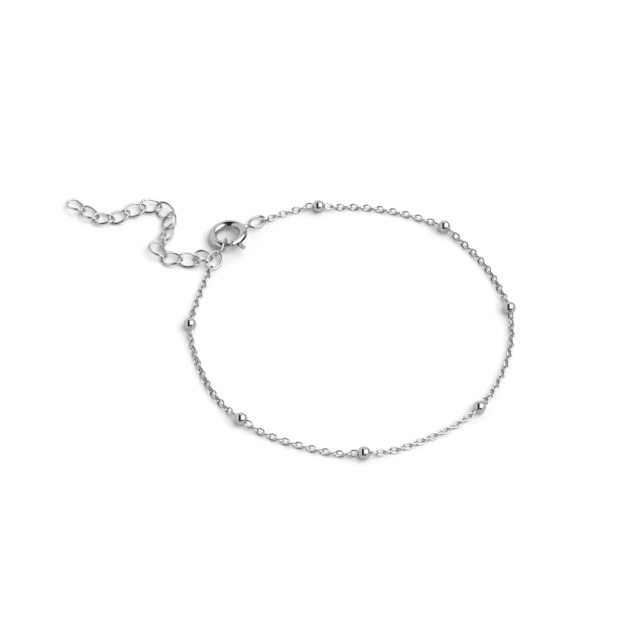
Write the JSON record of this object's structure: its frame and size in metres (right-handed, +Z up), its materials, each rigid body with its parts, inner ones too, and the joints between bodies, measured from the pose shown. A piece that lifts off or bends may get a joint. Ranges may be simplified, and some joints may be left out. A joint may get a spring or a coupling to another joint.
{
  "type": "beaded chain bracelet",
  "caption": "Fine cable chain bracelet with spaced round beads, a spring ring clasp and an extender of larger links, lying closed on a surface.",
  "frame": {"origin": "middle of the bounding box, on the plane that the bracelet lies on", "axes": "+X along the longest extent, away from the extender's free end; +Y towards the clasp's side; +Z up from the surface"},
  "size_m": [0.071, 0.0528, 0.0027],
  "materials": {
    "bead": "mirror polished silver-coloured metal",
    "chain": "polished silver-coloured plating on fine link wire",
    "clasp": "mirror polished silver-coloured metal",
    "extender": "polished silver-coloured metal"
  },
  "bodies": {
    "bracelet": {"bead_1": "bead", "bead_2": "bead", "bead_3": "bead", "bead_4": "bead", "bead_5": "bead", "bead_6": "bead", "bead_7": "bead", "chain_1": "chain", "chain_2": "chain", "chain_3": "chain", "chain_4": "chain", "chain_5": "chain", "chain_6": "chain", "chain_7": "chain", "chain_8": "chain", "clasp_body": "clasp", "jump_ring": "extender", "extender_link_1": "extender", "extender_link_2": "extender", "extender_link_3": "extender", "extender_link_4": "extender", "extender_link_5": "extender", "extender_link_6": "extender", "extender_link_7": "extender", "extender_link_8": "extender", "extender_link_9": "extender", "extender_link_10": "extender", "extender_link_11": "extender", "extender_link_12": "extender", "extender_link_13": "extender", "extender_link_14": "extender", "extender_link_15": "extender"},
    "bolt": {"clasp_bolt": "clasp"}
  },
  "joints": [
    {"name": "bolt_slide", "type": "hinge", "parent": "bracelet", "child": "bolt", "pos_m": [-0.00944, 0.01823, 0.00113], "axis": [-0.1558, 0.0872, 0.9839], "range_deg": [0, 36], "stiffness_Nm_per_rad": 0.0002, "springref_deg": -28.65}
  ]
}
